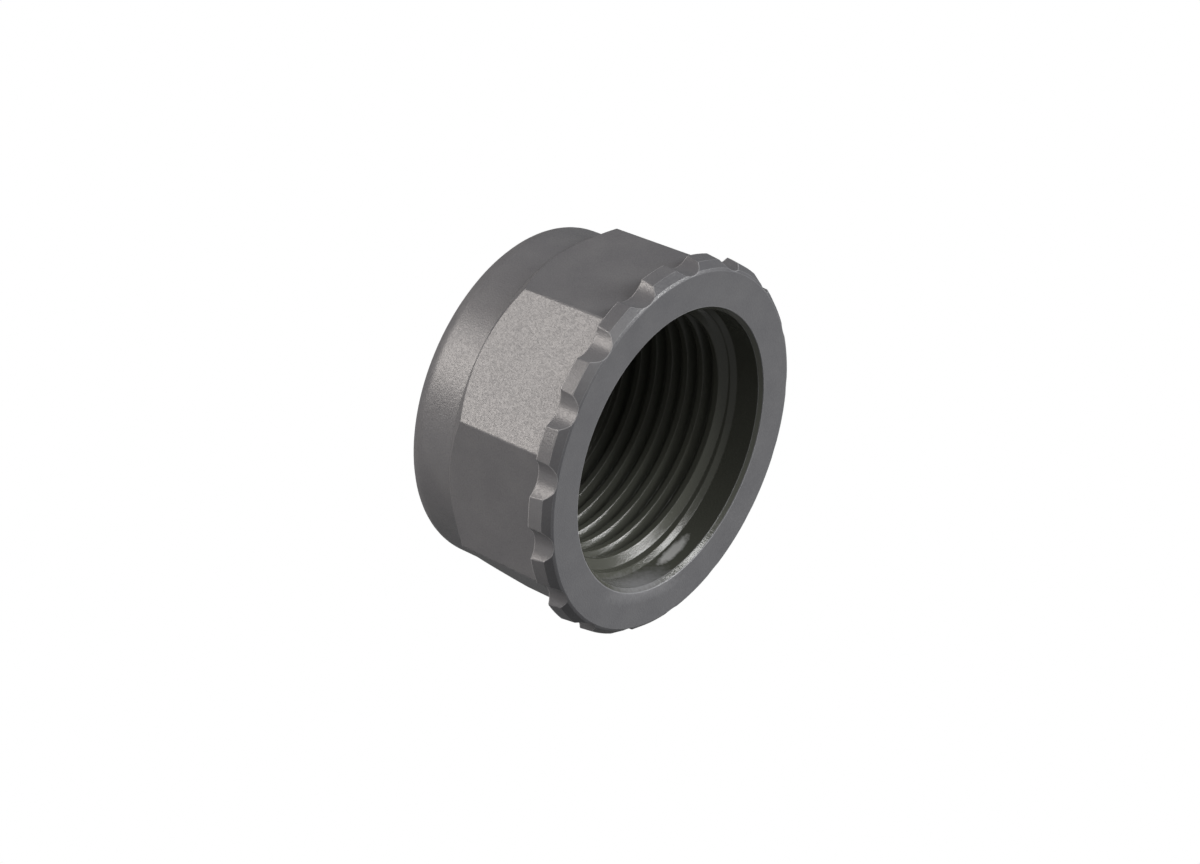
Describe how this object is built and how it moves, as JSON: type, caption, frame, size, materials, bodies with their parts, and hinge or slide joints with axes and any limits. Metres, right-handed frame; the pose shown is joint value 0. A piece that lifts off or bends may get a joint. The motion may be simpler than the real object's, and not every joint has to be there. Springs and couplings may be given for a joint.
{
  "type": "threaded end cap",
  "caption": "Threaded protection cap of dark grey plastic: a blind threaded socket, an octagonal wrench body, a scalloped grip ring at the mouth and a round closed end.",
  "frame": {"origin": "centre of the flat closed end, which rests on the ground", "axes": "+Z along the socket axis, out of the mouth; +X out of the middle of one flat of the octagon"},
  "size_m": [0.0464, 0.0464, 0.0236],
  "materials": {
    "cap": "moulded dark grey PVC, finely matt"
  },
  "bodies": {
    "root": {"threaded_cap": "cap"}
  },
  "joints": []
}
